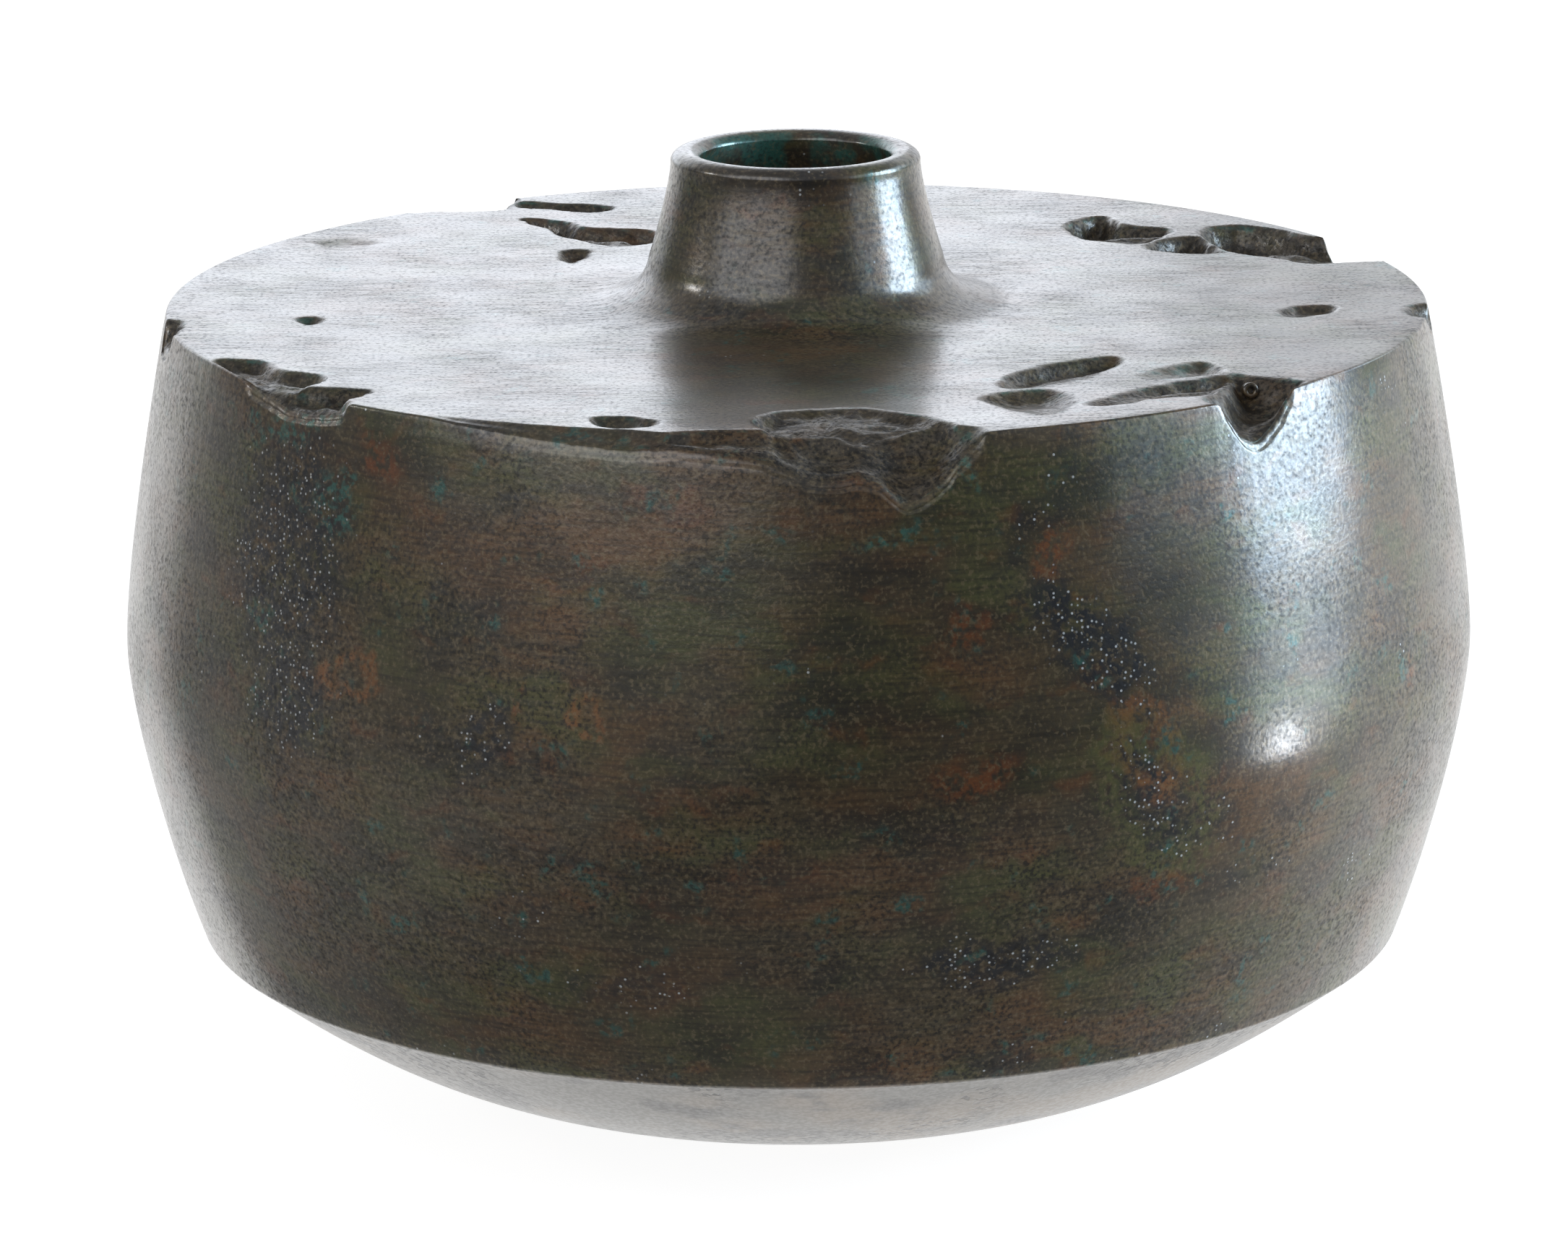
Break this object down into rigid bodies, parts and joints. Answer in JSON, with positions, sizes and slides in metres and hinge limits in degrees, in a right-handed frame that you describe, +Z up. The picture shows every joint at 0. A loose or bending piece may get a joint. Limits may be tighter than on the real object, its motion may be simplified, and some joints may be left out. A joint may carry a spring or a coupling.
{
  "type": "bronze vase",
  "caption": "Cast bronze flower vase: broad round drum, flat shoulder with a torn and pitted rim, short tapering neck, shallow bottom dish on a low foot ring.",
  "frame": {"origin": "centre of the foot ring's underside, on the surface that the vase stands on", "axes": "+Z up along the vase's turning axis, -Y towards the side that the picture shows, +X to its right"},
  "size_m": [0.3, 0.3, 0.2079],
  "materials": {
    "patinated_bronze": "satin dark patina",
    "underside_bronze": "satin grey-brown patina, lightly pitted",
    "braze": "dull",
    "chaplet_bronze": "dull as cast"
  },
  "bodies": {
    "root": {"body_casting": "patinated_bronze", "bottom_casting": "underside_bronze", "braze_ring": "braze", "core_chaplet_shoulder_1": "chaplet_bronze", "core_chaplet_shoulder_2": "chaplet_bronze", "core_chaplet_shoulder_3": "chaplet_bronze", "core_chaplet_shoulder_4": "chaplet_bronze", "core_chaplet_wall_1": "chaplet_bronze", "core_chaplet_wall_2": "chaplet_bronze", "core_chaplet_wall_3": "chaplet_bronze", "core_chaplet_wall_4": "chaplet_bronze", "core_chaplet_wall_5": "chaplet_bronze", "core_chaplet_wall_6": "chaplet_bronze"}
  },
  "joints": []
}
